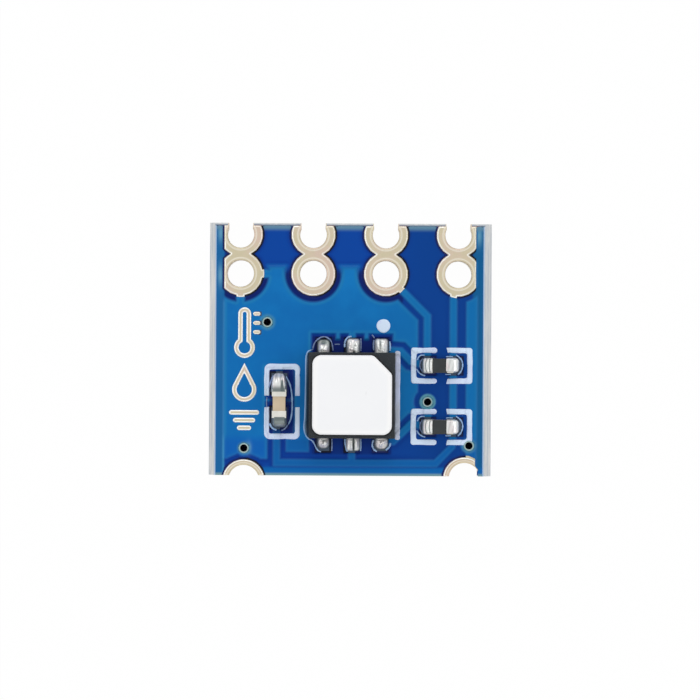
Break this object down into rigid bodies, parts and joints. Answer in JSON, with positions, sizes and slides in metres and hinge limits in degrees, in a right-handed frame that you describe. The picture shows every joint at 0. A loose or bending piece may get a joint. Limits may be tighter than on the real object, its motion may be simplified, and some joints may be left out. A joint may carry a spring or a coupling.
{
  "type": "temperature humidity sensor module",
  "caption": "Small blue circuit board with a moulded temperature and humidity sensor under a white filter cover, plated header holes and castellated edges.",
  "frame": {"origin": "centre of the board's underside, which is the face that it lies on", "axes": "+Z leaves the component side, +Y points to the edge with the header holes, +X to the right of that"},
  "size_m": [0.0098, 0.0088, 0.0028],
  "materials": {
    "laminate": "matte",
    "solder_mask": "gloss",
    "plated_copper": "satin",
    "copper_foil": "satin",
    "legend_ink": "matte",
    "mould_compound": "matte",
    "filter_cover": "matte",
    "silicon": "gloss",
    "tin_plating": "satin",
    "solder": "satin",
    "capacitor_ceramic": "satin",
    "resistor_ceramic": "matte",
    "resistor_coat": "satin"
  },
  "bodies": {
    "root": {"capacitor_body": "capacitor_ceramic", "capacitor_ends": "tin_plating", "castellation_left": "plated_copper", "castellation_right": "plated_copper", "clock_track_bottom": "copper_foil", "clock_track_top": "copper_foil", "data_track": "copper_foil", "ground_field_bottom": "copper_foil", "ground_field_top": "copper_foil", "ground_strip_top": "copper_foil", "laminate_core": "laminate", "lead_3_land": "copper_foil", "lead_4_land": "copper_foil", "legend_capacitor_frame": "legend_ink", "legend_lead_1_dot": "legend_ink", "legend_resistor_1_brackets": "legend_ink", "legend_resistor_2_brackets": "legend_ink", "legend_sensor_bar": "legend_ink", "resistor_1_coat": "resistor_coat", "resistor_1_ends": "tin_plating", "resistor_1_substrate": "resistor_ceramic", "resistor_2_coat": "resistor_coat", "resistor_2_ends": "tin_plating", "resistor_2_substrate": "resistor_ceramic", "sensor_cover": "filter_cover", "sensor_die": "silicon", "sensor_die_pad": "tin_plating", "sensor_leads": "tin_plating", "sensor_mould": "mould_compound", "solder_capacitor_foot": "solder", "solder_capacitor_head": "solder", "solder_die_pad": "solder", "solder_lead_1": "solder", "solder_lead_2": "solder", "solder_lead_3": "solder", "solder_lead_4": "solder", "solder_lead_5": "solder", "solder_lead_6": "solder", "solder_mask_bottom": "solder_mask", "solder_mask_top": "solder_mask", "solder_resistor_1_left": "solder", "solder_resistor_1_right": "solder", "solder_resistor_2_left": "solder", "solder_resistor_2_right": "solder", "supply_track": "copper_foil", "symbol_plating": "plated_copper", "terminal_1": "plated_copper", "terminal_2": "plated_copper", "terminal_3": "plated_copper", "terminal_4": "plated_copper", "via_1": "plated_copper", "via_2": "plated_copper", "via_3": "plated_copper", "via_4": "plated_copper"}
  },
  "joints": []
}
